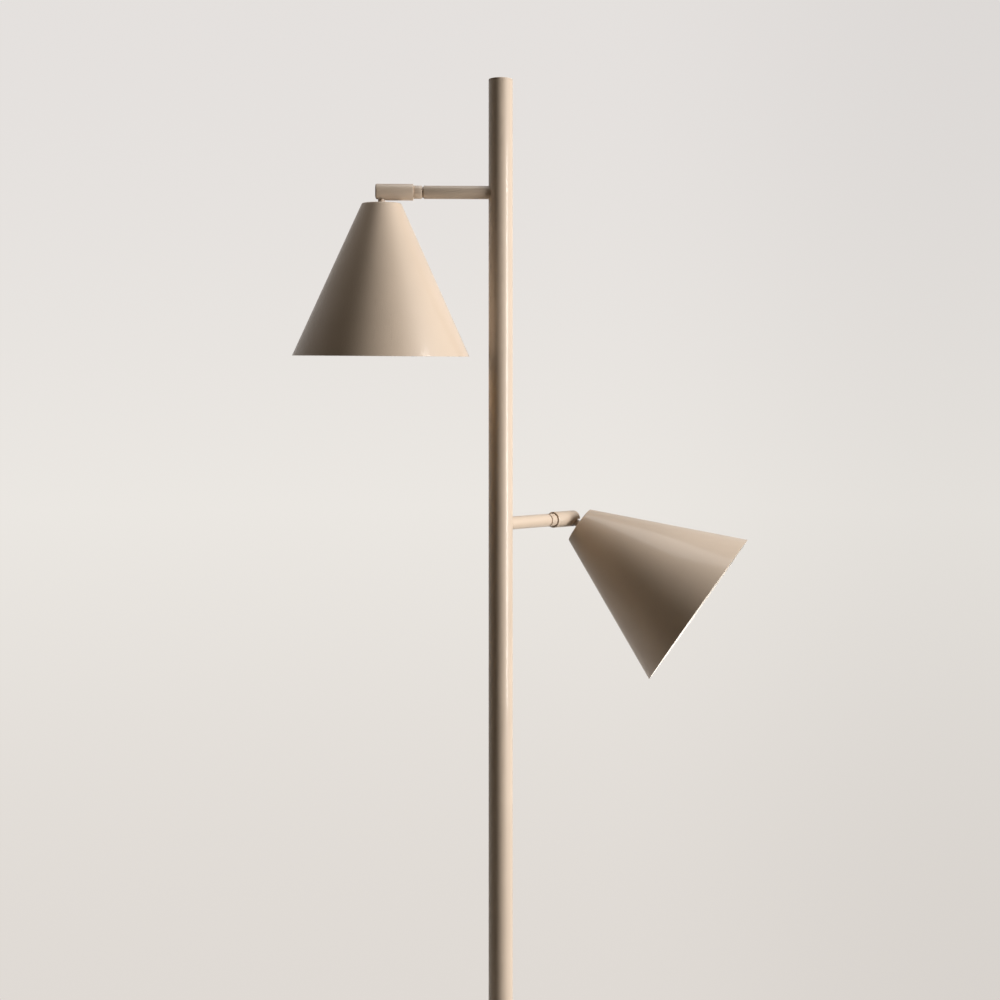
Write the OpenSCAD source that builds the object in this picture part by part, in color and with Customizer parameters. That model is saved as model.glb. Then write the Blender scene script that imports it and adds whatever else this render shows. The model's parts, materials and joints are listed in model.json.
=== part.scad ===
// Free-standing floor lamp: a round weighted base, a straight pole and two short arms.
// Each arm carries a cone shade on a turning barrel and a slotted ball joint.
// Millimetres. The origin is on the floor at the pole's axis, and +Z is up.

/* [Pole] */
// Height of the pole's top above the floor
lamp_h = 1500; // [1300:10:1700]
// Outer diameter of the pole
pole_d = 22; // [21:0.5:26]
// Wall of the two pole tubes
pole_wall = 1.5; // [1:0.1:1.8]
// Height of the joint between the two pole tubes
pole_joint_z = 620; // [400:10:800]
// Length of the spigot that joins the two tubes
joiner_len = 60; // [40:1:100]
// Length of the threaded bush in the pole's foot
foot_len = 22; // [16:1:30]
// Thickness of the top cap's rim
cap_t = 1.5; // [1:0.1:3]
// Length of the top cap's plug
cap_plug = 9; // [5:0.5:15]

/* [Base] */
// Diameter of the base
base_d = 250; // [220:1:300]
// Height of the base
base_h = 22; // [20:0.5:30]
// Sheet thickness of the base cover
cover_t = 1.5; // [1:0.1:2]
// Rounding of the cover's top edge
cover_round = 3; // [2.5:0.1:6]
// Thickness of the pad under the base
pad_t = 2; // [1.5:0.1:3]
// Iron left above the wiring pocket
web_t = 5; // [4:0.1:5.5]
// Diameter of the wiring pocket
pocket_d = 84; // [80:1:110]
// Thickness of the plate that closes the pocket
plate_t = 1.2; // [1:0.1:1.6]
// Diameter of the hollow stud that holds the pole
stud_d = 13; // [12.8:0.1:14]

/* [Arms] */
// Distance of the upper arm below the pole's top
arm_drop = 103; // [60:1:180]
// Distance between the two arms
arm_spacing = 301; // [240:1:380]
// Distance of a ball joint from the pole's axis
arm_reach = 108; // [104:1:180]
// Outer diameter of an arm
arm_d = 12; // [11.5:0.1:13]
// Wall of an arm tube
arm_wall = 1; // [0.8:0.1:1.2]
// Heading of the upper arm
upper_heading = 180; // [170:0.5:190]
// Heading of the lower arm
lower_heading = 49.5; // [40:0.1:60]

/* [Swivel] */
// Outer diameter of the turning barrel
barrel_d = 15; // [14.6:0.1:16]
// Length of the barrel
barrel_len = 34.5; // [33:0.5:40]
// Distance from the ball's centre to the barrel's end
barrel_end = 5.7; // [5.2:0.1:6.2]
// Rounding of the barrel's end
barrel_round = 1.4; // [0.6:0.1:1.8]
// Diameter of the ball
ball_d = 11; // [10.6:0.1:11.2]
// Diameter of the ball's neck
neck_d = 6.6; // [6.4:0.1:6.9]
// Width of the slot that the neck moves in
slot_w = 8.8; // [8.2:0.1:9]
// Length of the fixed collar beside the barrel
collar_len = 7.4; // [5:0.1:9]
// Width of the groove between the collar and the arm
groove_w = 1.8; // [1:0.1:3]
// Diameter at the bottom of that groove
groove_d = 10.2; // [8:0.1:10.5]

/* [Shade] */
// Diameter of the shade's mouth
shade_d = 161; // [140:1:170]
// Diameter of the shade's flat top
shade_top_d = 35.6; // [33:0.1:44]
// Height of the shade
shade_h = 138.5; // [120:0.5:160]
// Sheet thickness of the shade
shade_t = 1; // [0.8:0.1:1.3]
// Rounding of the shade's top edge
shade_round = 1.8; // [1.5:0.1:4]
// Gap between the barrel and the shade's top
shade_gap = 2.6; // [1.1:0.1:4]

/* [Light source] */
// Outer diameter of the lamp holder
holder_d = 27; // [25:0.5:28]
// Diameter of the bulb's glass
bulb_d = 45; // [40:1:48]
// Diameter of the bulb's screw cap
screw_d = 13.9; // [13.6:0.1:14]
// Wall of the bulb's glass
glass_t = 1; // [0.6:0.1:1.2]

/* [Cable] */
// Diameter of the lamp cable
cable_d = 2.6; // [2.2:0.1:2.7]
// Diameter of the hole for the mains lead
lead_d = 6.4; // [6:0.1:7]

/* [Pose] */
// Turn of the upper shade about its arm, from straight down
upper_roll = 2.2; // [-20:0.1:20]
// Tilt of the upper shade, from square to its arm
upper_tilt = 0.3; // [0:0.1:90]
// Turn of the lower shade about its arm, from straight down
lower_roll = 52.2; // [0:0.1:90]
// Tilt of the lower shade, from square to its arm
lower_tilt = 21.8; // [0:0.1:90]

/* [Fits] */
// Radial clearance of the turning fits
run_fit = 0.1; // [0.08:0.01:0.12]
// Radial clearance of the fixed fits
slip_fit = 0.1; // [0.05:0.01:0.15]
// Gap between faces that turn on each other
face_gap = 0.2; // [0.15:0.05:0.3]

/* [Hidden] */
$fn = 96;

UPPER = 0;
LOWER = 1;
hex = 6;
cut = 1; // how far a cutting tool runs past a face

// Poses of the two arms and heads
arm_z = [lamp_h - arm_drop, lamp_h - arm_drop - arm_spacing];
heading = [upper_heading, lower_heading];
roll = [upper_roll, lower_roll];
tilt = [upper_tilt, lower_tilt];

// Pole
pole_bore = pole_d - 2 * pole_wall;
plug_d = pole_bore - 2 * slip_fit;
cable_way_d = 11;
joiner_bore = cable_way_d + 1;
stud_wall = 1;
stud_bore = stud_d - 2 * stud_wall;
stud_hole = stud_d + 2 * slip_fit;

// Base, from the floor up
base_r = base_d / 2;
skirt_z = 1.2;
iron_gap = 0.5;
iron_round = cover_round - 1;
pad_inset = 1;
iron_top = base_h - cover_t;
iron_r = base_r - cover_t - iron_gap;
pocket_top = iron_top - web_t;
plate_ledge = 10; // how far the plate reaches past the pocket all round
plate_d = pocket_d + 2 * plate_ledge;
plate_screw_r = (pocket_d + plate_ledge) / 2;
plate_screw_d = 3;
plate_screw_head = 5.6;
plate_screw_len = 7;
washer_t = 2;
washer_d = 32;
nut_t = 5;
nut_flats = 19;
stud_out = 0.5; // how far the stud stands out of its nut
stud_low = pocket_top - washer_t - nut_t - stud_out;
stud_high = base_h + foot_len - 1;

// Mains lead inlet at the back of the base
inlet_z = 11;
bush_flange_d = 12;
bush_flange_t = 1.5;
bush_wall = 1.2;

// Cable: its place in the pole, its bends and the terminals at its foot
cable_off = [3.7, 2.2];
bend_r = 5;
cable_lift = 1.9; // clear height under the cables in the base
cable_low_z = pad_t + plate_t + cable_lift + cable_d / 2;
cable_play = 0.4;
wire_way = cable_d + 2 * cable_play;
wire_end = cable_d / 2 + cable_play / 2;
block_l = 18;
block_w = 13;
block_margin = 4;
block_y = pocket_d / 2 - block_l - block_margin;
block_gap = 0.2;
block_h = 8.6;
barrel_in = 4; // how deep the brass barrels lie in the block
brass_d = 4.2;
brass_bore = 3.2;
clamp_d = 2.4;
clamp_h = 3.5;
clamp_place = [6.5, 11.5];

// Arm, along +X from the pole's axis
arm_bore = arm_d - 2 * arm_wall;
barrel_start = arm_reach + barrel_end - barrel_len;
collar_end = barrel_start - face_gap;
collar_start = collar_end - collar_len;
tube_end = collar_start - groove_w;
stub_plug = 12;
nipple_d = arm_bore - 2 * slip_fit;
nipple_bore = 6;
nipple_grip = 12;
nipple_set = 0.3; // how far the nipple stays out of the cable way
anchor_h = 20;

// Swivel, along X from the ball's centre
barrel_bore = ball_d + 2 * run_fit;
neck_play = 0.3;
cup_front = neck_d / 2 + neck_play;
cup_web = 2;
cup_back = barrel_bore / 2 + cup_web;
cup_bore = 5;
spring_count = 4;
spring_t = 0.5;
spring_cone = 0.25;
spring_gap = 0.02;
spring_play = 0.2;
spring_pitch = spring_t + spring_cone + spring_gap;
spigot_end = cup_back + spring_count * spring_pitch;
track_x = -20;
track_w = 2.2;
track_depth = 1.3;
track_stop = 1.2;
tip_d = 1.8;
screw_m = 3;
screw_sink = 0.3;
socket_d = 1.6;
socket_deep = 0.8;
tip_play = 0.2;

// Head, along -Z from the ball's centre
top_z = barrel_d / 2 + shade_gap;
shank_d = 6;
shank_hole = shank_d + 2 * slip_fit;
shade_washer_t = 1;
shade_washer_d = 18;
nut_z = top_z + shade_t + shade_washer_t;
nut_hex_h = 8;
nut_hex_d = 15;
nut_thread_d = 10;
nut_thread_l = 7;
shank_short = 1; // how far the shank stops short of the nut's hexagon end
shank_end = nut_z + nut_hex_h - shank_short;
cap_gap = 0.3;
cap_z = nut_z + nut_hex_h + cap_gap;
holder_wall = 1.7;
holder_cap_h = 16;
holder_body_h = 26;
hub_t = 7;
hub_r = 9;
core_drop = 12;
core_h = 7;
core_z = cap_z + core_drop;
terminal_off = 6;
body_z = cap_z + holder_cap_h;
strip_x = screw_d / 2 + 0.3;
strip_w = 4;
strip_t = 0.6;
contact_d = 5;
contact_t = 0.8;
contact_post_d = 3;
contact_l = 1.5;
bulb_z = core_z + core_h + contact_l + slip_fit;
screw_l = 17;
screw_wall = 1.2;
tip_l = 3;
tip_low_d = 6;
solder_h = 1;
glass_neck_l = 10;
bulb_r = bulb_d / 2;
bulb_c = bulb_z + tip_l + screw_l + glass_neck_l + bulb_r * 0.8;

function arc(c, r, a0, a1, n = 8) =
    [for (i = [0 : n]) let (a = a0 + (a1 - a0) * i / n) c + r * [cos(a), sin(a)]];

// The shade's sheet as a closed outline: flat top, rounded corner, straight cone
shade_lean = atan2(shade_d / 2 - shade_top_d / 2, shade_h);
corner = [shade_top_d / 2 - shade_round * tan((90 - shade_lean) / 2), -shade_round];
sheet_run = shade_t / cos(shade_lean);

module at_arm(i) {
    translate([0, 0, arm_z[i]])
        rotate([0, 0, heading[i]])
            children();
}

module at_barrel(i) {
    at_arm(i)
        translate([arm_reach, 0, 0])
            rotate([-roll[i], 0, 0])
                children();
}

module at_head(i) {
    at_barrel(i)
        rotate([0, -tilt[i], 0])
            children();
}

// A round bar along X
module rod(x0, x1, d) {
    translate([x0, 0, 0])
        rotate([0, 90, 0])
            cylinder(h = x1 - x0, d = d);
}

// A round bar from a height down to a lower one
module drop(z0, z1, d) {
    translate([0, 0, -z1])
        cylinder(h = z1 - z0, d = d);
}

// A quarter bend that starts upwards at the origin and ends along +X
module bend(r, d) {
    translate([r, 0, 0])
        rotate([90, 0, 0])
            rotate([0, 0, 90])
                rotate_extrude(angle = 90)
                    translate([r, 0])
                        circle(d = d);
}

// ---------------------------------------------------------------- base

module floor_pad() {
    color("dimgray")
        cylinder(h = pad_t, r = iron_r - pad_inset);
}

module plate_screw_places() {
    for (a = [30, 150, 270])
        rotate([0, 0, a])
            translate([plate_screw_r, 0, pad_t])
                children();
}

module closing_plate() {
    color("silver")
        difference() {
            translate([0, 0, pad_t])
                cylinder(h = plate_t, d = plate_d - 2 * slip_fit);
            plate_screw_places()
                translate([0, 0, -cut])
                    cylinder(h = plate_t + 2 * cut, d = plate_screw_head + 2 * slip_fit);
        }
}

module closing_screws() {
    color("gray")
        plate_screw_places() {
            difference() {
                cylinder(h = plate_t, d = plate_screw_head);
                translate([0, 0, -cut])
                    cylinder(h = plate_t / 2 + cut, d = plate_screw_d * 0.7, $fn = hex);
            }
            cylinder(h = plate_screw_len, d = plate_screw_d);
        }
}

module base_weight() {
    color("dimgray")
        difference() {
            rotate_extrude()
                polygon(concat(
                    [[0, pad_t], [iron_r, pad_t]],
                    arc([iron_r - iron_round, iron_top - iron_round], iron_round, 0, 90),
                    [[0, iron_top]]));
            cylinder(h = pocket_top, d = pocket_d);
            cylinder(h = pad_t + plate_t, d = plate_d);
            cylinder(h = base_h, d = stud_hole);
            plate_screw_places()
                cylinder(h = plate_screw_len + cut, d = plate_screw_d + 2 * slip_fit);
            translate([0, 0, inlet_z])
                rotate([0, 0, 90]) {
                    rod(0, base_r, lead_d + 2 * bush_wall);
                    rod(iron_r - 2 * bush_flange_t, base_r, bush_flange_d + cut);
                }
        }
}

module base_cover() {
    color("tan")
        difference() {
            rotate_extrude()
                polygon(concat(
                    [[base_r, skirt_z]],
                    arc([base_r - cover_round, base_h - cover_round], cover_round, 0, 90),
                    [[stud_hole / 2, base_h], [stud_hole / 2, iron_top]],
                    arc([base_r - cover_round, base_h - cover_round],
                        cover_round - cover_t, 90, 0),
                    [[base_r - cover_t, skirt_z]]));
            translate([0, 0, inlet_z])
                rotate([0, 0, 90])
                    rod(0, base_r + cut, lead_d + 2 * bush_wall);
        }
}

module base_stud() {
    color("silver")
        difference() {
            translate([0, 0, stud_low])
                cylinder(h = stud_high - stud_low, d = stud_d);
            cylinder(h = lamp_h, d = stud_bore);
        }
}

module base_washer() {
    color("silver")
        translate([0, 0, pocket_top - washer_t])
            difference() {
                cylinder(h = washer_t, d = washer_d);
                translate([0, 0, -cut])
                    cylinder(h = washer_t + 2 * cut, d = stud_hole);
            }
}

module base_nut() {
    color("silver")
        translate([0, 0, pocket_top - washer_t - nut_t])
            difference() {
                cylinder(h = nut_t, d = nut_flats / cos(180 / hex), $fn = hex);
                translate([0, 0, -cut])
                    cylinder(h = nut_t + 2 * cut, d = stud_hole);
            }
}

// Where the two lamp cables stand in the pole, seen from above
function cable_at(i) = -cable_off[i] * [cos(heading[i]), sin(heading[i])];
block_x = (cable_at(UPPER)[0] + cable_at(LOWER)[0]) / 2;

module terminal_block() {
    color("white")
        difference() {
            translate([block_x - block_w / 2, block_y, pad_t + plate_t + block_gap])
                cube([block_w, block_l, block_h]);
            for (i = [UPPER, LOWER])
                translate([cable_at(i)[0], 0, cable_low_z]) {
                    rotate([0, 0, 90])
                        rod(block_y - cut, block_y + block_l + cut, brass_d + 2 * slip_fit);
                    for (y = clamp_place)
                        translate([0, block_y + y, 0])
                            cylinder(h = base_h, d = clamp_d + 2 * slip_fit);
                }
        }
}

module terminal_barrels() {
    color("gold")
        for (i = [UPPER, LOWER])
            translate([cable_at(i)[0], 0, cable_low_z])
                difference() {
                    rotate([0, 0, 90])
                        rod(block_y + barrel_in, block_y + block_l - barrel_in, brass_d);
                    rotate([0, 0, 90])
                        rod(block_y, block_y + block_l, brass_bore);
                    for (y = clamp_place)
                        translate([0, block_y + y, 0])
                            cylinder(h = base_h, d = clamp_d + 2 * slip_fit);
                }
}

module terminal_screws() {
    color("silver")
        for (i = [UPPER, LOWER], y = clamp_place)
            translate([cable_at(i)[0], block_y + y, cable_low_z + brass_bore / 2])
                cylinder(h = clamp_h, d = clamp_d);
}

module cable_bush() {
    skirt_in = base_r - cover_t;
    color("dimgray")
        translate([0, 0, inlet_z])
            rotate([0, 0, 90])
                difference() {
                    union() {
                        rod(base_r, base_r + bush_flange_t, bush_flange_d);
                        rod(skirt_in - 2 * bush_flange_t, base_r + 1,
                            lead_d + 2 * bush_wall - 2 * slip_fit);
                        rod(skirt_in - 2 * bush_flange_t, skirt_in - 0.2, bush_flange_d);
                    }
                    rod(0, base_r + 2 * bush_flange_t, lead_d);
                }
}

// ---------------------------------------------------------------- pole

module pole_foot_bush() {
    color("silver")
        translate([0, 0, base_h])
            difference() {
                cylinder(h = foot_len, d = plug_d);
                translate([0, 0, -cut])
                    cylinder(h = foot_len + 2 * cut, d = stud_hole);
            }
}

module pole_tube(z0, z1) {
    difference() {
        translate([0, 0, z0])
            cylinder(h = z1 - z0, d = pole_d);
        cylinder(h = lamp_h, d = pole_bore);
        for (i = [UPPER, LOWER])
            at_arm(i)
                rod(0, pole_d, nipple_d + 2 * slip_fit);
    }
}

module pole_lower_tube() {
    color("tan")
        pole_tube(base_h, pole_joint_z);
}

module pole_upper_tube() {
    color("tan")
        pole_tube(pole_joint_z, lamp_h - cap_t);
}

module pole_joiner() {
    color("silver")
        translate([0, 0, pole_joint_z - joiner_len / 2])
            difference() {
                cylinder(h = joiner_len, d = plug_d);
                translate([0, 0, -cut])
                    cylinder(h = joiner_len + 2 * cut, d = joiner_bore);
            }
}

module pole_cap() {
    color("tan") {
        translate([0, 0, lamp_h - cap_t])
            rotate_extrude()
                polygon(concat(
                    [[0, 0], [pole_d / 2, 0]],
                    arc([pole_d / 2 - cap_t / 2, cap_t / 2], cap_t / 2, 0, 90),
                    [[0, cap_t]]));
        translate([0, 0, lamp_h - cap_t - cap_plug])
            cylinder(h = cap_plug, d = plug_d);
    }
}

// ---------------------------------------------------------------- arms

module arm_anchor() {
    color("silver")
        difference() {
            translate([0, 0, -anchor_h / 2])
                cylinder(h = anchor_h, d = plug_d);
            translate([0, 0, -anchor_h])
                cylinder(h = 2 * anchor_h, d = cable_way_d);
            rod(0, pole_d, nipple_d + 2 * slip_fit);
        }
}

module arm_nipple() {
    color("silver")
        difference() {
            rod(cable_way_d / 2 + nipple_set, pole_d / 2 + nipple_grip, nipple_d);
            rod(0, arm_reach, nipple_bore);
        }
}

module arm_tube() {
    color("tan")
        difference() {
            rod(0, tube_end, arm_d);
            rod(-cut, tube_end + cut, arm_bore);
            translate([0, 0, -arm_d])
                cylinder(h = 2 * arm_d, d = pole_d + 2 * slip_fit);
        }
}

module arm_cable(i) {
    foot_z = cable_low_z + bend_r;
    color("gainsboro") {
        at_arm(i) {
            rod(bend_r - cable_off[i], arm_reach - wire_end, cable_d);
            translate([-cable_off[i], 0, -bend_r])
                bend(bend_r, cable_d);
            translate([-cable_off[i], 0, foot_z - arm_z[i]])
                cylinder(h = arm_z[i] - bend_r - foot_z, d = cable_d);
        }
        translate([cable_at(i)[0], cable_at(i)[1], foot_z])
            rotate([0, 0, 90])
                mirror([0, 0, 1])
                    bend(bend_r, cable_d);
        translate([cable_at(i)[0], 0, foot_z - bend_r])
            rotate([0, 0, 90])
                rod(cable_at(i)[1] + bend_r, block_y + barrel_in + cut, cable_d);
    }
}

// ---------------------------------------------------------------- swivel

module swivel_stub() {
    track = arm_reach + track_x;
    spigot_d = barrel_bore - 2 * run_fit;
    color("tan")
        difference() {
            union() {
                rod(tube_end - stub_plug, tube_end, nipple_d);
                rod(tube_end - cut, tube_end + cut, min(nipple_d, groove_d));
                rod(tube_end, collar_start + cut, groove_d);
                rod(collar_start, collar_end, arm_d);
                rod(collar_end - cut, arm_reach - spigot_end, spigot_d);
            }
            rod(0, arm_reach, wire_way);
            difference() {
                rod(track - track_w / 2, track + track_w / 2, spigot_d + cut);
                rod(track - track_w, track + track_w, spigot_d - 2 * track_depth);
                translate([track - track_w, -track_stop / 2, -spigot_d])
                    cube([2 * track_w, track_stop, spigot_d]);
            }
        }
}

module swivel_barrel() {
    color("tan")
        difference() {
            rotate([0, 90, 0])
                rotate_extrude()
                    polygon(concat(
                        [[0, barrel_end - barrel_len], [barrel_d / 2, barrel_end - barrel_len]],
                        arc([barrel_d / 2 - barrel_round, barrel_end - barrel_round],
                            barrel_round, 0, 90),
                        [[0, barrel_end]]));
            rod(-barrel_len, 0, barrel_bore);
            sphere(d = barrel_bore);
            drop(0, barrel_d, slot_w);
            translate([0, -slot_w / 2, -barrel_d])
                cube([barrel_d, slot_w, barrel_d]);
            rod(0, barrel_d, slot_w);
            translate([track_x, 0, 0])
                cylinder(h = barrel_d, d = screw_m + 2 * slip_fit);
        }
}

module stop_screw() {
    wall_in = barrel_bore / 2;
    spigot_r = barrel_bore / 2 - run_fit;
    tip_r = spigot_r - track_depth + tip_play;
    color("dimgray")
        translate([track_x, 0, 0])
            difference() {
                union() {
                    translate([0, 0, wall_in])
                        cylinder(h = barrel_d / 2 - screw_sink - wall_in, d = screw_m);
                    translate([0, 0, tip_r])
                        cylinder(h = barrel_d / 2 - screw_sink - tip_r, d = tip_d);
                }
                translate([0, 0, barrel_d / 2 - screw_sink - socket_deep])
                    cylinder(h = barrel_d, d = socket_d, $fn = hex);
            }
}

module disc_spring(flip) {
    ri = cup_bore / 2 + spring_play;
    ro = barrel_bore / 2 - spring_play;
    low = flip ? spring_cone : 0;
    high = spring_cone - low;
    rotate([0, 90, 0])
        rotate_extrude()
            polygon([[ri, low], [ro, high], [ro, high + spring_t], [ri, low + spring_t]]);
}

module disc_springs() {
    color("silver")
        for (i = [0 : spring_count - 1])
            translate([-cup_back - (i + 1) * spring_pitch + spring_gap / 2, 0, 0])
                disc_spring(i % 2 == 0);
}

module ball_cup() {
    color("beige")
        difference() {
            rod(-cup_back, -cup_front, barrel_bore - 2 * run_fit);
            sphere(d = barrel_bore);
            rod(-barrel_len, 0, cup_bore);
        }
}

// ---------------------------------------------------------------- head

module ball_stud() {
    color("tan")
        difference() {
            union() {
                sphere(d = ball_d);
                drop(0, top_z, neck_d);
                drop(top_z - cut, shank_end, shank_d);
            }
            drop(0, shank_end + cut, wire_way);
            translate([-ball_d, -wire_way / 2, -wire_way / 2])
                cube([ball_d + wire_way / 2, wire_way, ball_d]);
        }
}

module shade() {
    color("tan")
        translate([0, 0, -top_z])
            rotate_extrude()
                polygon(concat(
                    [[shank_hole / 2, 0]],
                    arc(corner, shade_round, 90, shade_lean),
                    [[shade_d / 2, -shade_h], [shade_d / 2 - sheet_run, -shade_h]],
                    arc(corner, shade_round - shade_t, shade_lean, 90),
                    [[shank_hole / 2, -shade_t]]));
}

module shade_washer() {
    color("silver")
        difference() {
            drop(top_z + shade_t, nut_z, shade_washer_d);
            drop(0, nut_z + cut, shank_hole);
        }
}

module shade_nut() {
    color("silver")
        difference() {
            union() {
                translate([0, 0, -nut_z - nut_hex_h])
                    cylinder(h = nut_hex_h, d = nut_hex_d, $fn = hex);
                drop(nut_z, nut_z + nut_hex_h + nut_thread_l, nut_thread_d);
            }
            drop(0, shank_end + shank_short / 2, shank_hole);
            drop(0, nut_z + nut_hex_h + nut_thread_l + cut, wire_way);
        }
}

module holder_cap() {
    r = holder_d / 2;
    color("white")
        translate([0, 0, -cap_z])
            rotate_extrude()
                polygon([
                    [nut_thread_d / 2 + slip_fit, 0], [hub_r, 0], [r, hub_r - r],
                    [r, -holder_cap_h], [r - holder_wall, -holder_cap_h],
                    [r - holder_wall, -hub_t], [nut_thread_d / 2 + slip_fit, -hub_t]
                ]);
}

// The strip that touches the bulb's cap from the side, and the groove that it lies in
module side_contact() {
    translate([strip_x, -strip_w / 2, -body_z - holder_body_h / 2])
        cube([strip_t, strip_w, body_z + holder_body_h / 2 - core_z - core_h]);
}

module side_groove() {
    translate([0, -strip_w / 2 - slip_fit, -body_z - holder_body_h / 2])
        cube([strip_x + strip_t + slip_fit, strip_w + 2 * slip_fit, holder_body_h / 2 + cut]);
}

module holder_body() {
    color("white")
        difference() {
            drop(body_z, body_z + holder_body_h, holder_d);
            drop(body_z - cut, core_z + core_h + slip_fit, holder_d - 2 * holder_wall);
            drop(body_z - cut, body_z + holder_body_h + cut, 2 * strip_x);
            side_groove();
        }
}

module holder_core() {
    color("white")
        difference() {
            drop(core_z, core_z + core_h, holder_d - 2 * holder_wall - 2 * slip_fit);
            drop(0, core_z + core_h / 2, wire_way);
            for (y = [-1, 1])
                translate([0, y * terminal_off, 0])
                    drop(0, core_z + core_h / 2, cable_d);
        }
}

module holder_contacts() {
    color("gold") {
        drop(core_z + core_h, core_z + core_h + contact_t, contact_d);
        drop(core_z + core_h, core_z + core_h + contact_l, contact_post_d);
        side_contact();
    }
}

module bulb_screw() {
    color("silver") {
        drop(bulb_z, bulb_z + solder_h, contact_d);
        translate([0, 0, -bulb_z - tip_l])
            cylinder(h = tip_l - solder_h / 2, d1 = screw_d - 1, d2 = tip_low_d);
        difference() {
            drop(bulb_z + tip_l, bulb_z + tip_l + screw_l, screw_d);
            drop(bulb_z + tip_l + screw_wall, bulb_z + tip_l + screw_l + cut,
                 screw_d - 2 * screw_wall);
        }
    }
}

module glass_form(inset) {
    neck_r = screw_d / 2 - inset;
    lip = bulb_z + tip_l + screw_l;
    drop(lip + (inset > 0 ? -cut : 0), bulb_c, 2 * neck_r);
    translate([0, 0, -bulb_c])
        sphere(r = bulb_r - inset);
}

module bulb_glass() {
    color("white")
        difference() {
            glass_form(0);
            glass_form(glass_t);
        }
}

module head_cable() {
    color("gainsboro")
        drop(wire_end, core_z + core_h / 2 - slip_fit, cable_d);
}

// ---------------------------------------------------------------- assembly

floor_pad();
closing_plate();
closing_screws();
base_weight();
base_cover();
base_stud();
base_washer();
base_nut();
terminal_block();
terminal_barrels();
terminal_screws();
cable_bush();
pole_foot_bush();
pole_lower_tube();
pole_joiner();
pole_upper_tube();
pole_cap();
at_arm(UPPER) arm_anchor();  // upper_arm_anchor
at_arm(UPPER) arm_nipple();  // upper_arm_nipple
at_arm(UPPER) arm_tube();  // upper_arm_tube
arm_cable(UPPER);  // upper_arm_cable
at_arm(UPPER) swivel_stub();  // upper_swivel_stub
at_barrel(UPPER) swivel_barrel();  // upper_swivel_barrel
at_barrel(UPPER) stop_screw();  // upper_stop_screw
at_barrel(UPPER) disc_springs();  // upper_disc_springs
at_barrel(UPPER) ball_cup();  // upper_ball_cup
at_head(UPPER) ball_stud();  // upper_ball_stud
at_head(UPPER) shade();  // upper_shade
at_head(UPPER) shade_washer();  // upper_shade_washer
at_head(UPPER) shade_nut();  // upper_shade_nut
at_head(UPPER) holder_cap();  // upper_holder_cap
at_head(UPPER) holder_body();  // upper_holder_body
at_head(UPPER) holder_core();  // upper_holder_core
at_head(UPPER) holder_contacts();  // upper_holder_contacts
at_head(UPPER) bulb_screw();  // upper_bulb_screw
at_head(UPPER) bulb_glass();  // upper_bulb_glass
at_head(UPPER) head_cable();  // upper_head_cable
at_arm(LOWER) arm_anchor();  // lower_arm_anchor
at_arm(LOWER) arm_nipple();  // lower_arm_nipple
at_arm(LOWER) arm_tube();  // lower_arm_tube
arm_cable(LOWER);  // lower_arm_cable
at_arm(LOWER) swivel_stub();  // lower_swivel_stub
at_barrel(LOWER) swivel_barrel();  // lower_swivel_barrel
at_barrel(LOWER) stop_screw();  // lower_stop_screw
at_barrel(LOWER) disc_springs();  // lower_disc_springs
at_barrel(LOWER) ball_cup();  // lower_ball_cup
at_head(LOWER) ball_stud();  // lower_ball_stud
at_head(LOWER) shade();  // lower_shade
at_head(LOWER) shade_washer();  // lower_shade_washer
at_head(LOWER) shade_nut();  // lower_shade_nut
at_head(LOWER) holder_cap();  // lower_holder_cap
at_head(LOWER) holder_body();  // lower_holder_body
at_head(LOWER) holder_core();  // lower_holder_core
at_head(LOWER) holder_contacts();  // lower_holder_contacts
at_head(LOWER) bulb_screw();  // lower_bulb_screw
at_head(LOWER) bulb_glass();  // lower_bulb_glass
at_head(LOWER) head_cable();  // lower_head_cable
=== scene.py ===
"""A free-standing floor lamp with two cone shades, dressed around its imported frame."""

import json
import math

import bmesh
import bpy
from mathutils import Matrix, Vector


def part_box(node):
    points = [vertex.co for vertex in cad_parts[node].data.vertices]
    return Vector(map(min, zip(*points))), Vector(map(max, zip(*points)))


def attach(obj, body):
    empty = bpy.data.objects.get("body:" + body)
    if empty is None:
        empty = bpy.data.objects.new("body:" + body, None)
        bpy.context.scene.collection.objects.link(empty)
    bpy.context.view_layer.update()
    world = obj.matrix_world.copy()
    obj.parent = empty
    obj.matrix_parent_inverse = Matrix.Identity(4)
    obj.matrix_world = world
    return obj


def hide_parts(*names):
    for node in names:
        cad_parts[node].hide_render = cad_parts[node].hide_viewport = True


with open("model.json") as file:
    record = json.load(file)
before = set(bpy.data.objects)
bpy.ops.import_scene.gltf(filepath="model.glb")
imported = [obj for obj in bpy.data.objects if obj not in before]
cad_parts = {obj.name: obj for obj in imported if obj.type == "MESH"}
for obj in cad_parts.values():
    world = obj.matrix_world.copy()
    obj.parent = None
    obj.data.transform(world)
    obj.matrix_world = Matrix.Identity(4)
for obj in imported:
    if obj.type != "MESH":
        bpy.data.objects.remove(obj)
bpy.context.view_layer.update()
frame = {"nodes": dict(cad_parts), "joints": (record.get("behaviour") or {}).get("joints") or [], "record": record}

MM = 0.001
X, Y, Z = Vector((1, 0, 0)), Vector((0, 1, 0)), Vector((0, 0, 1))
TURNS = 128  # facets round a turned piece
SMALL_TURNS = 64  # the same for a small piece or a cutting tool
WIDE_TURNS = 2 * TURNS  # the same for a wide piece
ON_AXIS = 1e-7  # a point of an outline nearer to the axis than this makes no ring
SHARP = math.radians(32)  # edges sharper than this stay crisp
SOFTEN_OVER = math.radians(40)  # edges sharper than this are rounded after a cut
CUT = 1 * MM  # how far a cutting tool runs past a face

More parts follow.
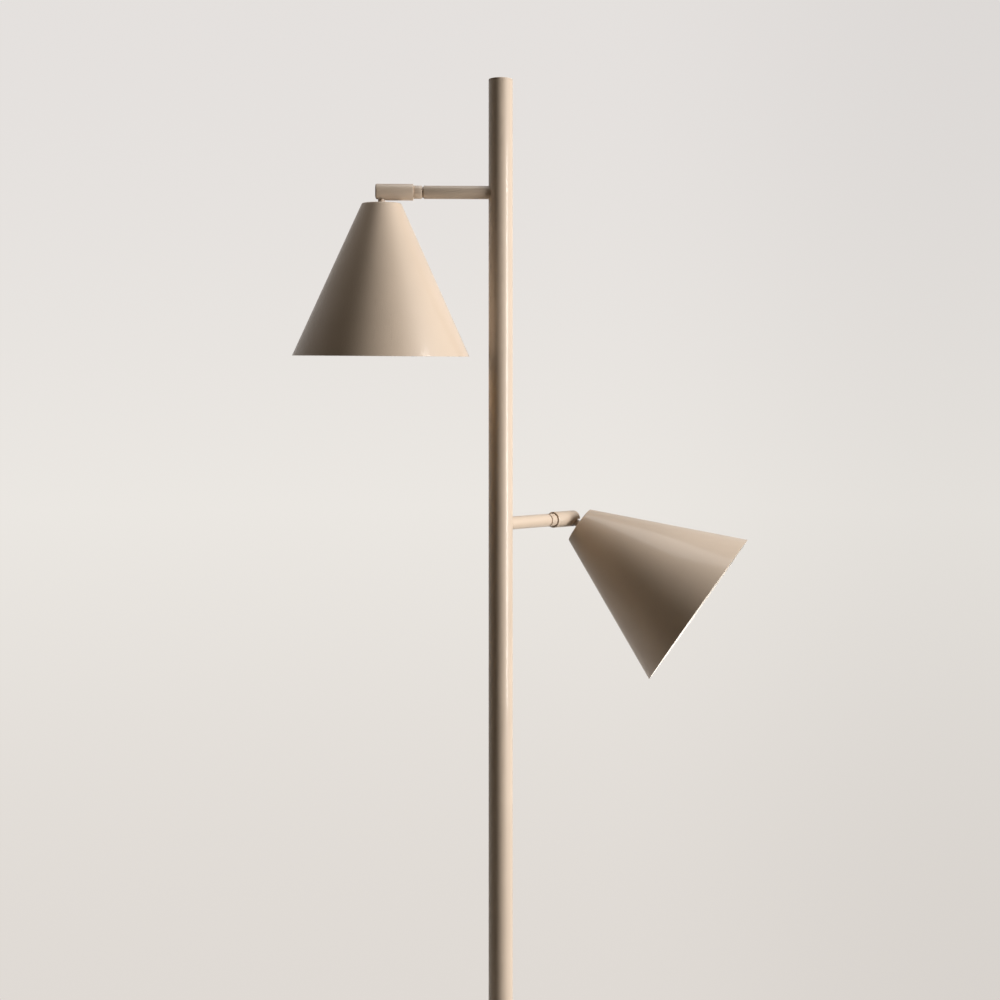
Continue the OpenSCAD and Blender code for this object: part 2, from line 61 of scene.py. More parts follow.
# Turned sizes that the frame's boxes don't give, in metres
POLE_WALL = 1.5 * MM
ARM_R = 6 * MM
ARM_WALL = 1 * MM
BARREL_R = 7.5 * MM
BARREL_BORE_R = 5.6 * MM
BALL_R = 5.5 * MM
NECK_R = 3.3 * MM
SLOT_R = 4.4 * MM
GROOVE_R = 5.1 * MM
SHADE_TOP_R = 17.8 * MM
SHADE_ROUND = 1.8 * MM
SHEET = 1.0 * MM
SLIP = 0.1 * MM  # what a piece that slides into another is smaller by
EDGE = 0.25 * MM  # the small rounding that paint leaves on an edge


# ------------------------------------------------------------ places


class Place:
    """An origin with three axes: length along z, and x the way a slot faces."""

    def __init__(self, origin, z, x=None):
        z = z.normalized()
        if x is None:
            near_x = 0.9  # a z axis closer to X than this can't take X for its x
            x = X if abs(z.x) < near_x else Y
        x = (x - z * x.dot(z)).normalized()
        turn = Matrix((x, z.cross(x), z)).transposed().to_4x4()
        self.matrix = Matrix.Translation(origin) @ turn


def joint(name):
    return next(j for j in frame["joints"] if j["name"] == name)


class Head:
    """Where one arm, its barrel and its shade lie at rest, worked out from the joints."""

    def __init__(self, side):
        tilt = joint(side + "_shade_tilt")
        self.side = side
        self.ball = Vector(tilt["pos_m"])
        self.arm = Vector((self.ball.x, self.ball.y, 0)).normalized()
        self.reach = math.hypot(self.ball.x, self.ball.y)
        in_line = math.radians(tilt["range_deg"][1])
        self.down = Matrix.Rotation(-in_line, 3, Vector(tilt["axis"])) @ self.arm
        self.slot = (self.down - self.arm * self.down.dot(self.arm)).normalized()
        self.arm_place = Place(Vector((0, 0, self.ball.z)), self.arm, Z)
        self.barrel_place = Place(self.ball, self.arm, self.slot)
        self.shade_place = Place(self.ball, self.down, self.arm)

    def name(self, piece):
        return f"{self.side}_{piece}"


UPPER, LOWER = Head("upper"), Head("lower")
HEADS = (UPPER, LOWER)


def size_of(node):
    low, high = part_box(node)
    return high - low


def along(node, place):
    """A CAD node's lowest and highest z in a place, and its largest radius there."""
    obj = frame["nodes"][node]
    turn = place.matrix.inverted() @ obj.matrix_world
    points = [turn @ vertex.co for vertex in obj.data.vertices]
    heights = [point.z for point in points]
    return min(heights), max(heights), max(point.xy.length for point in points)


# Sizes of the pole, base and upper arm, which lie square to the frame
POLE_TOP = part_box("pole_cap")[1].z
POLE_R = size_of("pole_upper_tube").x / 2
POLE_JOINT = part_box("pole_upper_tube")[0].z
BASE_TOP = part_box("base_cover")[1].z
BASE_R = size_of("base_cover").x / 2
SKIRT_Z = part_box("base_cover")[0].z
CAP_T = POLE_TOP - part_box("pole_upper_tube")[1].z
TUBE_END = -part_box("upper_arm_tube")[0].x
BARREL_START = -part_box("upper_swivel_barrel")[1].x
BARREL_END = -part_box("upper_swivel_barrel")[0].x
# Sizes of the shade, from its ball's centre along its own axis. Both heads are alike, so the
# upper one gives the sizes of both here and below.
SHADE_TOP, SHADE_MOUTH, SHADE_R = along("upper_shade", UPPER.shade_place)
SHADE_H = SHADE_MOUTH - SHADE_TOP


# ------------------------------------------------------------ mesh tools


def arc(centre, radius, start, end, steps=6):
    """Points on an arc, in degrees, from start to end."""
    out = []
    for i in range(steps + 1):
        a = math.radians(start + (end - start) * i / steps)
        out.append((centre[0] + radius * math.cos(a), centre[1] + radius * math.sin(a)))
    return out


def finish_mesh(bm, name, materials):
    bmesh.ops.recalc_face_normals(bm, faces=bm.faces)
    mesh = bpy.data.meshes.new(name)
    bm.to_mesh(mesh)
    bm.free()
    obj = bpy.data.objects.new(name, mesh)
    bpy.context.scene.collection.objects.link(obj)
    for material in materials:
        mesh.materials.append(material)
    mesh.polygons.foreach_set("use_smooth", [True] * len(mesh.polygons))
    mesh.set_sharp_from_angle(angle=SHARP)
    return obj


def lathe(name, outline, place, materials, turns=TURNS, closed=True, inner_from=None,
          start_at=None):
    """Turns an outline of (radius, height) points about the place's z axis.
    Faces from point inner_from on take the second material. start_at(x, y) moves the
    first and last rings along z, for an end that is cut to fit a round pole."""
    bm = bmesh.new()
    rings = []
    last = len(outline) - 1
    for n, (r, h) in enumerate(outline):
        if r < ON_AXIS:
            rings.append([bm.verts.new(place.matrix @ Vector((0, 0, h)))])
            continue
        fitted = start_at if n in (0, last) else None
        ring = []
        for t in range(turns):
            a = 2 * math.pi * t / turns
            x, y = r * math.cos(a), r * math.sin(a)
            z = fitted(x, y) if fitted else h
            ring.append(bm.verts.new(place.matrix @ Vector((x, y, z))))
        rings.append(ring)
    pairs = list(zip(rings, rings[1:])) + ([(rings[-1], rings[0])] if closed else [])
    for n, (a, b) in enumerate(pairs):
        if len(a) == 1 and len(b) == 1:
            continue
        for t in range(turns):
            u = (t + 1) % turns
            corners = [a[t % len(a)], a[u % len(a)], b[u % len(b)], b[t % len(b)]]
            face = bm.faces.new(list(dict.fromkeys(corners)))
            if inner_from is not None and n >= inner_from:
                face.material_index = 1
    return finish_mesh(bm, name, materials)


def round_tool(name, r, start, end, place):
    """A round cutter along the place's z axis."""
    return lathe(name, [(0, start), (r, start), (r, end), (0, end)], place, [],
                 turns=SMALL_TURNS, closed=False)


def box_tool(name, low, high, place):
    """A square cutter between two corners in the place."""
    bm = bmesh.new()
    bmesh.ops.create_cube(bm, size=1)
    span = Vector(high) - Vector(low)
    middle = (Vector(high) + Vector(low)) / 2
    bmesh.ops.scale(bm, vec=span, verts=bm.verts)
    bmesh.ops.translate(bm, vec=middle, verts=bm.verts)
    bmesh.ops.transform(bm, matrix=place.matrix, verts=bm.verts)
    return finish_mesh(bm, name, [])


def carve(obj, tools, soften=0.0):
    """Cuts the tools out of obj, rounds the new edges a little and removes the tools."""
    for tool in tools:
        cutter = obj.modifiers.new("cut", "BOOLEAN")
        cutter.operation = "DIFFERENCE"
        cutter.solver = "EXACT"
        cutter.object = tool
    if soften:
        bevel = obj.modifiers.new("soften", "BEVEL")
        bevel.width = soften
        bevel.segments = 2
        bevel.limit_method = "ANGLE"
        bevel.angle_limit = SOFTEN_OVER
    graph = bpy.context.evaluated_depsgraph_get()
    mesh = bpy.data.meshes.new_from_object(obj.evaluated_get(graph))
    obj.modifiers.clear()
    old = obj.data
    obj.data = mesh
    bpy.data.meshes.remove(old)
    mesh.name = obj.name
    mesh.polygons.foreach_set("use_smooth", [True] * len(mesh.polygons))
    mesh.set_sharp_from_angle(angle=SHARP)
    for tool in tools:
        bpy.data.objects.remove(tool)


def dress(piece, body, slot, *nodes):
    """The piece rides on a body and stands for CAD nodes, which are hidden. The slot is not used."""
    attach(piece, body)
    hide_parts(*nodes)


# ------------------------------------------------------------ materials

NOISE_SPAN = (0.3, 0.7)  # where nearly all values of a noise lie
TONE_SPAN = (0.35, 0.65)  # the part of it over which a colour changes


def new_material(name):
    material = bpy.data.materials.new(name)
    material.use_nodes = True
    nodes, links = material.node_tree.nodes, material.node_tree.links
    shader = nodes["Principled BSDF"]
    place = nodes.new("ShaderNodeTexCoord")
    return material, nodes, links, shader, place.outputs["Object"]


def noise(nodes, links, place, scale, detail=2.0):
    node = nodes.new("ShaderNodeTexNoise")
    node.inputs["Scale"].default_value = scale
    node.inputs["Detail"].default_value = detail
    links.new(place, node.inputs["Vector"])
    return node.outputs["Fac"]


def map_range(nodes, links, value, source, target, smooth=False):
    """Maps a value from one span to another, straight or with soft ends."""
    node = nodes.new("ShaderNodeMapRange")
    node.inputs["From Min"].default_value, node.inputs["From Max"].default_value = source
    node.inputs["To Min"].default_value, node.inputs["To Max"].default_value = target
    if smooth:
        node.interpolation_type = "SMOOTHSTEP"
    links.new(value, node.inputs["Value"])
    return node.outputs["Result"]


def two_tone(nodes, links, value, first, second):
    """Runs from one colour to the other over the middle of a noise's span."""
    ramp = nodes.new("ShaderNodeValToRGB")
    for stop, position, colour in zip(ramp.color_ramp.elements, TONE_SPAN, (first, second)):
        stop.position = position
        stop.color = (*colour, 1)
    links.new(value, ramp.inputs["Fac"])
    return ramp.outputs["Color"]


def bump(nodes, links, shader, value, strength, depth):
    node = nodes.new("ShaderNodeBump")
    node.inputs["Strength"].default_value = strength
    node.inputs["Distance"].default_value = depth
    links.new(value, node.inputs["Height"])
    links.new(node.outputs["Normal"], shader.inputs["Normal"])


def shade_of(colour, factor):
    return tuple(min(1, c * factor) for c in colour)


def coated(name, colour, rough, grain=1400.0, relief=0.12, drift=0.03, metal=0.0, coat=0.0):
    """A sprayed or moulded surface: fine grain in relief, and slow drift of colour and gloss."""
    slow_scale, grain_detail = 14.0, 3.0
    gloss_scale, gloss_drift = 60.0, 0.03
    coat_rough, depth = 0.1, 0.08 * MM
    material, nodes, links, shader, place = new_material(name)
    slow = noise(nodes, links, place, slow_scale)
    fine = noise(nodes, links, place, grain, grain_detail)
    tone = two_tone(nodes, links, slow, shade_of(colour, 1 - drift), shade_of(colour, 1 + drift))
    links.new(tone, shader.inputs["Base Color"])
    gloss = map_range(nodes, links, noise(nodes, links, place, gloss_scale), NOISE_SPAN,
                      (rough - gloss_drift, rough + gloss_drift))
    links.new(gloss, shader.inputs["Roughness"])
    shader.inputs["Metallic"].default_value = metal
    if coat:
        shader.inputs["Coat Weight"].default_value = coat
        shader.inputs["Coat Roughness"].default_value = coat_rough
    bump(nodes, links, shader, fine, relief, depth)
    return material


def turned(name, colour, rough):
    """Bare turned metal, with fine rings of tool marks."""
    lines, wander = 900.0, 1.5
    tone_scale, darker, lighter = 80.0, 0.94, 1.05
    gloss_scale, gloss_drift = 300.0, 0.06
    relief, depth = 0.08, 0.04 * MM
    material, nodes, links, shader, place = new_material(name)
    wave = nodes.new("ShaderNodeTexWave")
    wave.wave_type = "RINGS"
    wave.inputs["Scale"].default_value = lines
    wave.inputs["Distortion"].default_value = wander
    links.new(place, wave.inputs["Vector"])
    tone = two_tone(nodes, links, noise(nodes, links, place, tone_scale),
                    shade_of(colour, darker), shade_of(colour, lighter))
    links.new(tone, shader.inputs["Base Color"])
    shader.inputs["Metallic"].default_value = 1
    gloss = map_range(nodes, links, noise(nodes, links, place, gloss_scale), NOISE_SPAN,
                      (rough - gloss_drift, rough + gloss_drift))
    links.new(gloss, shader.inputs["Roughness"])
    bump(nodes, links, shader, wave.outputs["Fac"], relief, depth)
    return material


def glowing_glass(name):
    """Opal glass that glows a little and warm."""
    opal_dark, opal_light, tone_scale = (0.90, 0.87, 0.81), (0.95, 0.92, 0.87), 40.0
    rough, grain, relief, depth = 0.16, 500.0, 0.03, 0.05 * MM
    material, nodes, links, shader, place = new_material(name)
    tone = two_tone(nodes, links, noise(nodes, links, place, tone_scale), opal_dark, opal_light)
    links.new(tone, shader.inputs["Base Color"])
    shader.inputs["Roughness"].default_value = rough
    shader.inputs["Emission Color"].default_value = (*GLOW_COLOUR, 1)
    shader.inputs["Emission Strength"].default_value = GLOW
    bump(nodes, links, shader, noise(nodes, links, place, grain), relief, depth)
    return material


GLOW = 6.0
GLOW_COLOUR = (1.0, 0.66, 0.36)
TAUPE = (0.63, 0.51, 0.40)
WHITE = (0.80, 0.78, 0.74)

PAINT = coated("taupe_powder_coat", TAUPE, 0.5, coat=0.3)
INSIDE = coated("white_enamel_inside", WHITE, 0.42, grain=900.0, relief=0.08, drift=0.015)
ZINC = turned("zinc_plated_steel", (0.60, 0.61, 0.62), 0.34)
DARK_STEEL = turned("blackened_steel", (0.05, 0.05, 0.055), 0.42)
IRON = coated("cast_iron", (0.06, 0.06, 0.065), 0.75, grain=300.0, relief=0.5, drift=0.2,
              metal=0.6)
PAD = coated("pad_rubber", (0.035, 0.035, 0.035), 0.85, grain=700.0, relief=0.6, drift=0.15)
RUBBER = coated("black_rubber", (0.02, 0.02, 0.02), 0.6, grain=500.0, relief=0.3, drift=0.1)
BRASS = turned("brass_contact", (0.72, 0.50, 0.20), 0.3)
NICKEL = turned("nickel_plated_cap", (0.66, 0.64, 0.58), 0.25)
PLASTIC = coated("holder_plastic", (0.74, 0.72, 0.67), 0.38, grain=700.0, relief=0.1, drift=0.02)
NYLON = coated("nylon_cup", (0.70, 0.66, 0.56), 0.45, grain=500.0, relief=0.1)
CERAMIC = coated("steatite_core", (0.74, 0.72, 0.69), 0.55, grain=400.0, relief=0.3)
GLASS = glowing_glass("opal_glass")
CABLE = coated("cable_sheath", (0.62, 0.60, 0.56), 0.5, grain=800.0, relief=0.15)

BY_SLOT = {
    "taupe_paint": PAINT, "zinc": ZINC, "dark_steel": DARK_STEEL, "iron": IRON,
    "pad_rubber": PAD, "black_rubber": RUBBER, "brass": BRASS, "nickel": NICKEL,
    "white_plastic": PLASTIC, "nylon": NYLON, "ceramic": CERAMIC, "opal_glass": GLASS,
    "cable": CABLE,
}


def dress_frame():
    """Gives every carried-over CAD node the material of its slot."""
    for part in frame["record"]["subparts"]:
        node = frame["nodes"][part["node"]]
        node.data.materials.clear()
        node.data.materials.append(BY_SLOT[part["material_slot"]])


# ------------------------------------------------------------ pole and base

UPRIGHT = Place(Vector((0, 0, 0)), Z)


def tube_outline(r, wall, z0, z1):
    """A tube with its outer ends broken by a small round."""
    return (arc((r - EDGE, z0 + EDGE), EDGE, -90, 0, 3)
            + arc((r - EDGE, z1 - EDGE), EDGE, 0, 90, 3)
            + [(r - wall, z1), (r - wall, z0)])


def build_pole():
    for name, z0, z1 in (("pole_lower", BASE_TOP, POLE_JOINT),
                         ("pole_upper", POLE_JOINT, POLE_TOP - CAP_T)):
        pole = lathe(name, tube_outline(POLE_R, POLE_WALL, z0, z1), UPRIGHT, [PAINT])
        dress(pole, "stand", "taupe_paint", name + "_tube")
    crown = 0.45 * MM  # how high the cap's edge is rounded
    r, low = POLE_R, POLE_TOP - CAP_T
    plug, plug_r = size_of("pole_cap").z - CAP_T, POLE_R - POLE_WALL - SLIP
    outline = ([(0, low - plug), (plug_r, low - plug), (plug_r, low)]
               + arc((r - EDGE, low + EDGE), EDGE, -90, 0, 3)
               + arc((r - crown, POLE_TOP - crown), crown, 0, 90, 5)
               + [(0, POLE_TOP)])
    cap = lathe("pole_top_cap", outline, UPRIGHT, [PAINT], closed=False)
    dress(cap, "stand", "taupe_paint", "pole_cap")


def build_base():
    sheet, rounding, hole = 1.5 * MM, 3 * MM, 6.6 * MM
    top = BASE_TOP
    outline = ([(BASE_R, SKIRT_Z)]
               + arc((BASE_R - rounding, top - rounding), rounding, 0, 90, 10)
               + [(hole, top), (hole, top - sheet)]
               + arc((BASE_R - rounding, top - rounding), rounding - sheet, 90, 0, 10)
               + [(BASE_R - sheet, SKIRT_Z)])
    cover = lathe("base_dish", outline, UPRIGHT, [PAINT], turns=WIDE_TURNS)
    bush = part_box("cable_bush")
    inlet = Place(Vector((0, 0, (bush[0].z + bush[1].z) / 2)), Y, Z)
    inlet_r = 4.4 * MM
    carve(cover, [round_tool("inlet_tool", inlet_r, BASE_R / 2, BASE_R + CUT, inlet)])
    dress(cover, "stand", "taupe_paint", "base_cover")


# ------------------------------------------------------------ arms and swivels


def build_arm(head):
    fit, bore = POLE_R + SLIP, ARM_R - ARM_WALL
    outline = ([(ARM_R, fit)] + arc((ARM_R - EDGE, TUBE_END - EDGE), EDGE, 0, 90, 3)
               + [(bore, TUBE_END), (bore, fit)])
    # The end that meets the pole is cut to the pole's round; y here runs across the pole
    arm = lathe(head.name("arm"), outline, head.arm_place, [PAINT],
                start_at=lambda x, y: math.sqrt(fit * fit - y * y))
    dress(arm, "stand", "taupe_paint", head.name("arm_tube"))


def build_stub(head):
    """The turned end piece of the arm: plug, groove, collar and the journal in the barrel."""
    gap, groove = 0.2 * MM, 1.8 * MM
    collar_start, collar_end = TUBE_END + groove, BARREL_START - gap
    bore, plug, plug_r = 1.7 * MM, 12 * MM, ARM_R - ARM_WALL - SLIP
    journal = BARREL_BORE_R - SLIP
    spring_room = 10.7 * MM  # from the ball's centre, for the springs and the cup
    end = head.reach - spring_room
    outline = ([(bore, TUBE_END - plug), (plug_r, TUBE_END - plug), (plug_r, TUBE_END),
                (GROOVE_R, TUBE_END), (GROOVE_R, collar_start)]
               + arc((ARM_R - EDGE, collar_start + EDGE), EDGE, -90, 0, 3)
               + arc((ARM_R - EDGE, collar_end - EDGE), EDGE, 0, 90, 3)
               + [(journal, collar_end), (journal, end), (bore, end)])
    stub = lathe(head.name("stub"), outline, head.arm_place, [PAINT])
    dress(stub, "stand", "taupe_paint", head.name("swivel_stub"))


def build_barrel(head):
    """The turning barrel: a tube with a domed seat at its end and a slot for the neck."""
    place = head.barrel_place
    end = BARREL_END - head.reach
    start = BARREL_START - head.reach
    rounding, lip, heel = 1.4 * MM, 0.3 * MM, 0.5 * MM
    pinhole, paint_round = 0.2 * MM, 0.1 * MM
    seat = arc((0, 0), BARREL_BORE_R, 88, 0, 22)
    outline = (arc((BARREL_R - heel, start + heel), heel, -90, 0, 5)
               + arc((BARREL_R - rounding, end - rounding), rounding, 0, 90, 10)
               + [(pinhole, end)] + seat
               + [(BARREL_BORE_R, start + lip), (BARREL_BORE_R + lip, start)])
    barrel = lathe(head.name("barrel"), outline, place, [PAINT])
    far = 3 * BARREL_R
    # Both stop screws stand as far from their ball; the upper one's box lies square to the frame
    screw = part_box("upper_stop_screw")
    screw_r, screw_at = 1.6 * MM, UPPER.ball.x - (screw[0].x + screw[1].x) / 2
    tools = [
        round_tool("slot_tool", SLOT_R, 0, far, Place(head.ball, head.slot)),
        box_tool("slot_box", (0, -SLOT_R, 0), (far, SLOT_R, far), place),
        round_tool("slot_end", SLOT_R, 0, far, place),
        round_tool("screw_tool", screw_r, 0, far,
                   Place(head.ball + head.arm * screw_at, -head.slot)),
    ]
    carve(barrel, tools, soften=paint_round)
    dress(barrel, head.name("swivel"), "taupe_paint", head.name("swivel_barrel"))


# ------------------------------------------------------------ shades


def build_ball(head):
    """The ball with its neck, shoulder and the threaded shank in the shade."""
    shank, end = 3.0 * MM, SHADE_TOP + 9 * MM
    meet = math.degrees(math.acos(NECK_R / BALL_R))  # where the neck meets the ball
    root = BALL_R * math.sin(math.radians(meet))
    early, blend, swell = 4, 0.5 * MM, 0.1 * MM  # degrees and sizes of the blend between them
    ball = arc((0, 0), BALL_R, -90, meet - early, 28)
    ball[0] = (0, -BALL_R)
    outline = (ball + [(NECK_R + swell, root + blend), (NECK_R, root + 2 * blend),
                       (NECK_R, SHADE_TOP), (shank, SHADE_TOP), (shank, end), (0, end)])
    stud = lathe(head.name("ball"), outline, head.shade_place, [PAINT], turns=SMALL_TURNS,
                 closed=False)
    dress(stud, head.name("head"), "taupe_paint", head.name("ball_stud"))


def build_shade(head):
    """A spun cone: flat top, rounded shoulder, straight side, and a turned rim."""
    lean = math.degrees(math.atan2(SHADE_R - SHADE_TOP_R, SHADE_H))
    half = math.radians((90 - lean) / 2)
    corner = (SHADE_TOP_R - SHADE_ROUND * math.tan(half), SHADE_TOP + SHADE_ROUND)
    inner_r = SHADE_R - SHEET / math.cos(math.radians(lean))
    mouth, hole = SHADE_MOUTH, 3.1 * MM
    rim = 0.3 * MM  # how far back the rim's rounding starts
    back = Vector((SHADE_R - SHADE_TOP_R, SHADE_H)).normalized() * rim
    outer = [(hole, SHADE_TOP)] + arc(corner, SHADE_ROUND, -90, -lean, 10)
    outer += [(SHADE_R - back.x, mouth - back.y),
              (SHADE_R - 0.35 * rim, mouth - 0.1 * rim), (SHADE_R - rim, mouth)]
    inner = [(inner_r + 0.6 * rim, mouth), (inner_r - back.x, mouth - back.y)]
    inner += arc(corner, SHADE_ROUND - SHEET, -lean, -90, 6) + [(hole, SHADE_TOP + SHEET)]
    shade = lathe(head.name("cone"), outer + inner, head.shade_place, [PAINT, INSIDE],
                  turns=WIDE_TURNS, inner_from=len(outer))
    dress(shade, head.name("head"), "taupe_paint", head.name("shade"))


def build_holder(head):
    """The lamp holder's cap and ribbed skirt."""
    cap_low, cap_high, r = along("upper_holder_cap", UPPER.shade_place)
    body_end = along("upper_holder_body", UPPER.shade_place)[1]
    wall, thread_r, hub_r, thick = 1.7 * MM, 5.1 * MM, 9 * MM, 7 * MM
    step = r - hub_r
    cap = ([(thread_r, cap_low), (hub_r - EDGE, cap_low)]
           + arc((hub_r, cap_low + 2 * EDGE), EDGE, -90, -45, 3)
           + arc((r - 2 * EDGE, cap_low + step + 2 * EDGE), 2 * EDGE, -45, 0, 4)
           + [(r, cap_high - EDGE), (r - EDGE, cap_high), (r - wall, cap_high),
              (r - wall, cap_low + thick), (thread_r, cap_low + thick)])
    piece = lathe(head.name("holder_top"), cap, head.shade_place, [PLASTIC])
    dress(piece, head.name("head"), "white_plastic", head.name("holder_cap"))
    bore = 7.25 * MM
    outline = [(bore, cap_high), (r - EDGE, cap_high), (r, cap_high + EDGE)]
    grooves, groove, pitch, first = 5, 0.5 * MM, 3.2 * MM, cap_high + 4 * MM
    for n in range(grooves):
        z = first + n * pitch
        outline += [(r, z), (r - groove, z + groove), (r - groove, z + 2 * groove),
                    (r, z + 3 * groove)]
    outline += [(r, body_end - EDGE), (r - EDGE, body_end), (bore + EDGE, body_end),
                (bore, body_end - EDGE)]
    piece = lathe(head.name("holder_skirt"), outline, head.shade_place, [PLASTIC])
    dress(piece, head.name("head"), "white_plastic", head.name("holder_body"))


def build_bulb(head):
    """The screw cap with its thread, and the opal glass."""
    tip, lip, _ = along("upper_bulb_screw", UPPER.shade_place)
    _, glass_end, bulb_r = along("upper_bulb_glass", UPPER.shade_place)
    thread_r = 6.95 * MM
    depth, pitch = 0.55 * MM, 2.8 * MM
    thread_start, thread_end, collar = tip + 4 * MM, lip - 2 * MM, 1.5 * MM
    # Upwards from the tip: the contact, the insulator's cone and the thread
    outline = [(0, tip), (2.4 * MM, tip), (2.5 * MM, tip + 1 * MM), (3 * MM, tip + 1 * MM),
               (6 * MM, tip + 3 * MM), (thread_r - depth, tip + 3.4 * MM)]
    steps = 40
    for n in range(steps + 1):
        h = thread_start + n * (thread_end - thread_start) / steps
        phase = 2 * math.pi * (h - thread_start) / pitch
        outline.append((thread_r - depth / 2 - depth / 2 * math.cos(phase), h))
    outline += [(thread_r, lip - collar), (thread_r, lip), (0, lip)]
    cap = lathe(head.name("bulb_cap"), outline, head.shade_place, [NICKEL], closed=False)
    dress(cap, head.name("head"), "nickel", head.name("bulb_screw"))
    middle, neck_r = glass_end - bulb_r, thread_r - SLIP
    lean = 38  # degrees below the bulb's middle where its neck begins
    turn = math.radians(lean)
    shoulder = Vector((bulb_r * math.cos(turn), middle - bulb_r * math.sin(turn)))
    start = Vector((neck_r, lip + collar))
    pull = Vector((neck_r, shoulder.y - 3 * MM))
    outline = [(0, lip), (neck_r, lip), (neck_r, lip + collar)]
    steps = 10
    for n in range(1, steps):
        t = n / steps
        outline.append(tuple(start * (1 - t) ** 2 + pull * 2 * t * (1 - t) + shoulder * t * t))
    outline += arc((0, middle), bulb_r, -lean, 90, 30)[:-1] + [(0, glass_end)]
    glass = lathe(head.name("bulb"), outline, head.shade_place, [GLASS], closed=False)
    dress(glass, head.name("head"), "opal_glass", head.name("bulb_glass"))


# ------------------------------------------------------------ studio

# The camera's place in metres, and its picture in pixels
CAMERA_DISTANCE = 1.541
CAMERA_HEIGHT = 1.1885
CAMERA_SIDE = -0.0006
CAMERA_TURN = math.radians(-2)  # about the pole, from straight in front
CLIP_START = 0.05
FOCAL_PIXELS = 1695
PICTURE = 1000
HORIZON_ROW = 422
SENSOR = 36  # width in millimetres

# Each light's place, its width and height, and its power in watts
LIGHTS_AIM = (0, 0, 1.15)
KEY_LIGHT = ((2.12, -0.73, 1.3), (0.8, 1.7), 75)
STRIP_LIGHT = ((1.93, -1.06, 1.3), (0.5, 1.8), 60)
TOP_LIGHT = ((0.2, 0.1, 3.3), (1.2, 1.2), 16)
WARM_WHITE = (1.0, 0.985, 0.965)

# The world's spans are over one part of the direction: z up, x to the right, y to the back
FILL = 0.05
FILL_COLOUR = (1.0, 0.78, 0.52)
BACKDROP_LOW = (0.74, 0.70, 0.66)
BACKDROP_MIDDLE = (0.83, 0.80, 0.76)
BACKDROP_HIGH = (0.78, 0.75, 0.73)
BACKDROP_RISE = (-0.35, 0.25)  # z, from the low colour to the high one
BACKDROP_SIDE = 0.93  # how bright the backdrop is far to the right
BACKDROP_ASIDE = (0.08, 0.30)  # x, from full brightness to that
FRONT_OF_ROOM = 0.12  # how bright the room's front looks in gloss, against the backdrop
FRONT_TO_BACK = (-0.5, 0.4)  # y, from that to full brightness
RIGHT_OF_ROOM = 1.4  # how bright the room's right side looks in gloss
LEFT_TO_RIGHT = (0.3, 0.9)  # x, from nothing to that

FLOOR_R = 1.2
FLOOR_FADE = (0.35 * FLOOR_R, 0.98 * FLOOR_R)  # from solid to clear
FLOOR_COLOUR = (0.78, 0.76, 0.73)


def build_camera():
    data = bpy.data.cameras.new("camera")
    data.sensor_width = SENSOR
    data.lens = SENSOR * FOCAL_PIXELS / PICTURE
    data.shift_y = (HORIZON_ROW - PICTURE / 2) / PICTURE
    data.clip_start = CLIP_START
    camera = bpy.data.objects.new("camera", data)
    turn = Matrix.Rotation(CAMERA_TURN, 3, "Z")
    camera.location = turn @ Vector((CAMERA_SIDE, -CAMERA_DISTANCE, CAMERA_HEIGHT))
    camera.rotation_euler = (math.pi / 2, 0, CAMERA_TURN)
    bpy.context.scene.collection.objects.link(camera)
    bpy.context.scene.camera = camera


def area_light(name, place, size, power):
    data = bpy.data.lights.new(name, "AREA")
    data.shape = "RECTANGLE"
    data.size, data.size_y = size
    data.energy = power
    data.color = WARM_WHITE
    light = bpy.data.objects.new(name, data)
    light.location = place
    aim = Vector(LIGHTS_AIM) - Vector(place)
    light.rotation_euler = aim.to_track_quat("-Z", "Y").to_euler()
    bpy.context.scene.collection.objects.link(light)
    return light


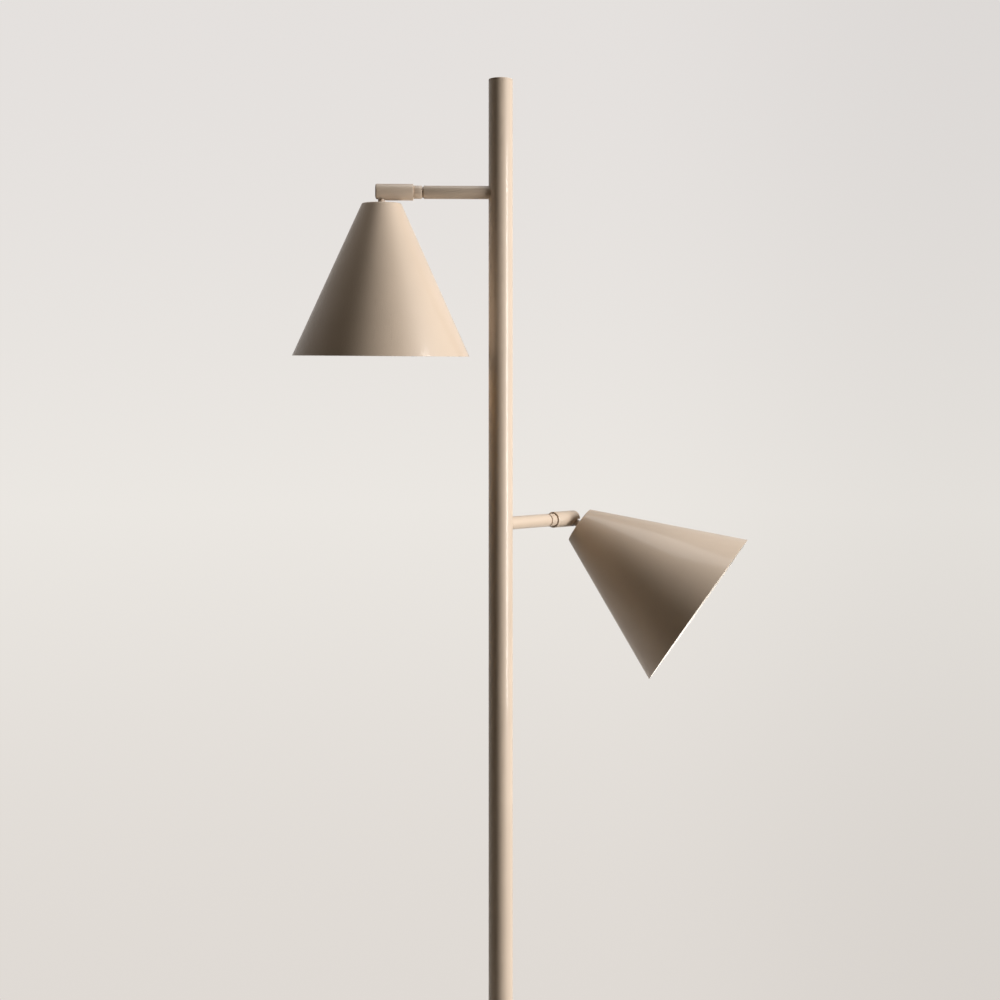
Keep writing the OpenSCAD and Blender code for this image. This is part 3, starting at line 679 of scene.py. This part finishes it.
def build_world():
    """A pale backdrop for the eye and for glass, a room for gloss that is dimmer in front and
    brighter at the right, and a dim warm fill for the rest."""
    bpy.context.scene.view_settings.view_transform = "Standard"
    world = bpy.data.worlds.new("studio")
    bpy.context.scene.world = world
    world.use_nodes = True
    nodes, links = world.node_tree.nodes, world.node_tree.links
    nodes.clear()

    def math_node(operation, first, second):
        node = nodes.new("ShaderNodeMath")
        node.operation = operation
        for socket, value in zip(node.inputs, (first, second)):
            if isinstance(value, (int, float)):
                socket.default_value = value
            else:
                links.new(value, socket)
        return node.outputs[0]

    def span(value, source, start, end):
        return map_range(nodes, links, value, source, (start, end), smooth=True)

    out = nodes.new("ShaderNodeOutputWorld")
    mix = nodes.new("ShaderNodeMixShader")
    seen, fill = nodes.new("ShaderNodeBackground"), nodes.new("ShaderNodeBackground")
    path = nodes.new("ShaderNodeLightPath")
    place = nodes.new("ShaderNodeTexCoord")
    split = nodes.new("ShaderNodeSeparateXYZ")
    links.new(place.outputs["Generated"], split.inputs[0])
    direct = math_node("MAXIMUM", path.outputs["Is Camera Ray"],
                       path.outputs["Is Transmission Ray"])
    shown = math_node("MAXIMUM", direct, path.outputs["Is Glossy Ray"])
    links.new(shown, mix.inputs["Fac"])
    ramp = nodes.new("ShaderNodeValToRGB")
    links.new(span(split.outputs["Z"], BACKDROP_RISE, 0, 1), ramp.inputs["Fac"])
    ramp.color_ramp.elements[0].color = (*BACKDROP_LOW, 1)
    ramp.color_ramp.elements[1].color = (*BACKDROP_HIGH, 1)
    middle = ramp.color_ramp.elements.new(0.5)
    middle.color = (*BACKDROP_MIDDLE, 1)
    links.new(ramp.outputs["Color"], seen.inputs["Color"])
    aside = span(split.outputs["X"], BACKDROP_ASIDE, 1, BACKDROP_SIDE)
    room = math_node("MAXIMUM", span(split.outputs["Y"], FRONT_TO_BACK, FRONT_OF_ROOM, 1),
                     span(split.outputs["X"], LEFT_TO_RIGHT, 0, RIGHT_OF_ROOM))
    in_gloss = math_node("SUBTRACT", 1, direct)
    strength = math_node("ADD", math_node("MULTIPLY", direct, aside),
                         math_node("MULTIPLY", in_gloss, room))
    links.new(strength, seen.inputs["Strength"])
    fill.inputs["Color"].default_value = (*FILL_COLOUR, 1)
    fill.inputs["Strength"].default_value = FILL
    links.new(fill.outputs[0], mix.inputs[1])
    links.new(seen.outputs[0], mix.inputs[2])
    links.new(mix.outputs[0], out.inputs["Surface"])


def build_floor():
    """A pale round floor that fades into the backdrop at its edge."""
    rough, tone_scale, drift = 0.8, 3.0, 0.01
    grain, relief, depth = 200.0, 0.05, 0.2 * MM
    bm = bmesh.new()
    bmesh.ops.create_circle(bm, cap_ends=True, radius=FLOOR_R, segments=WIDE_TURNS)
    material, nodes, links, shader, place = new_material("pale_floor")
    tone = two_tone(nodes, links, noise(nodes, links, place, tone_scale),
                    shade_of(FLOOR_COLOUR, 1 - drift), shade_of(FLOOR_COLOUR, 1 + drift))
    links.new(tone, shader.inputs["Base Color"])
    shader.inputs["Roughness"].default_value = rough
    length = nodes.new("ShaderNodeVectorMath")
    length.operation = "LENGTH"
    links.new(place, length.inputs[0])
    fade = map_range(nodes, links, length.outputs["Value"], FLOOR_FADE, (1, 0), smooth=True)
    links.new(fade, shader.inputs["Alpha"])
    bump(nodes, links, shader, noise(nodes, links, place, grain), relief, depth)
    finish_mesh(bm, "floor", [material])


def build_lights():
    """A key light from the right, a strip beside it that shows only in gloss, and a top light."""
    area_light("key", *KEY_LIGHT).visible_glossy = False
    area_light("strip", *STRIP_LIGHT).visible_diffuse = False
    area_light("top", *TOP_LIGHT)


# ------------------------------------------------------------ the lamp

dress_frame()
build_camera()
build_pole()
build_base()
for lamp_head in HEADS:
    build_arm(lamp_head)
    build_stub(lamp_head)
    build_barrel(lamp_head)
    build_ball(lamp_head)
    build_shade(lamp_head)
    build_holder(lamp_head)
    build_bulb(lamp_head)
build_world()
build_floor()
build_lights()
